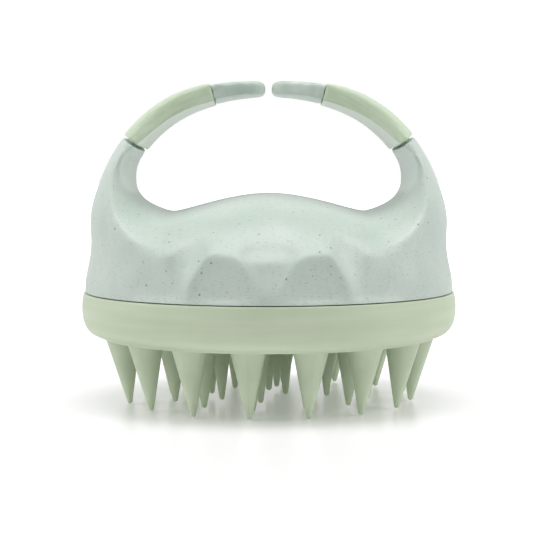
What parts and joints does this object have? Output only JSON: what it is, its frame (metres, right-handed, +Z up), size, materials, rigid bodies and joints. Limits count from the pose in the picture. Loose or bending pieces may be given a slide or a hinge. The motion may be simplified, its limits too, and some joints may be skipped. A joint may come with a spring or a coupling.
{
  "type": "scalp massager brush",
  "caption": "Round scalp massager brush: a hollow palm-shaped cover with two open finger arms and grip sleeves, over a soft pad with rings of tapered silicone bristles that pulls off.",
  "frame": {"origin": "centre of the bristle head in plan, in the plane of the longest bristle tips, on which the brush stands", "axes": "+Z up from the bristle tips to the arms, X from the left arm to the right arm, front is -Y"},
  "size_m": [0.0904, 0.0904, 0.0769],
  "materials": {
    "cover_plastic": "satin, with fine fibres and flecks",
    "soft_green": "matt silicone",
    "plate_plastic": "satin",
    "screw_steel": "plain zinc"
  },
  "bodies": {
    "head": {"bristle_pad": "soft_green", "outer_bristles": "soft_green", "second_bristles": "soft_green", "third_bristles": "soft_green", "centre_bristles": "soft_green"},
    "handle": {"top_cover": "cover_plastic", "left_grip_sleeve": "soft_green", "right_grip_sleeve": "soft_green", "carrier_plate": "plate_plastic", "plate_screws": "screw_steel"}
  },
  "joints": [
    {"name": "head_pull_off", "type": "slide", "parent": "head", "child": "handle", "axis": [0, 0, 1], "range_m": [0, 0.012]}
  ]
}
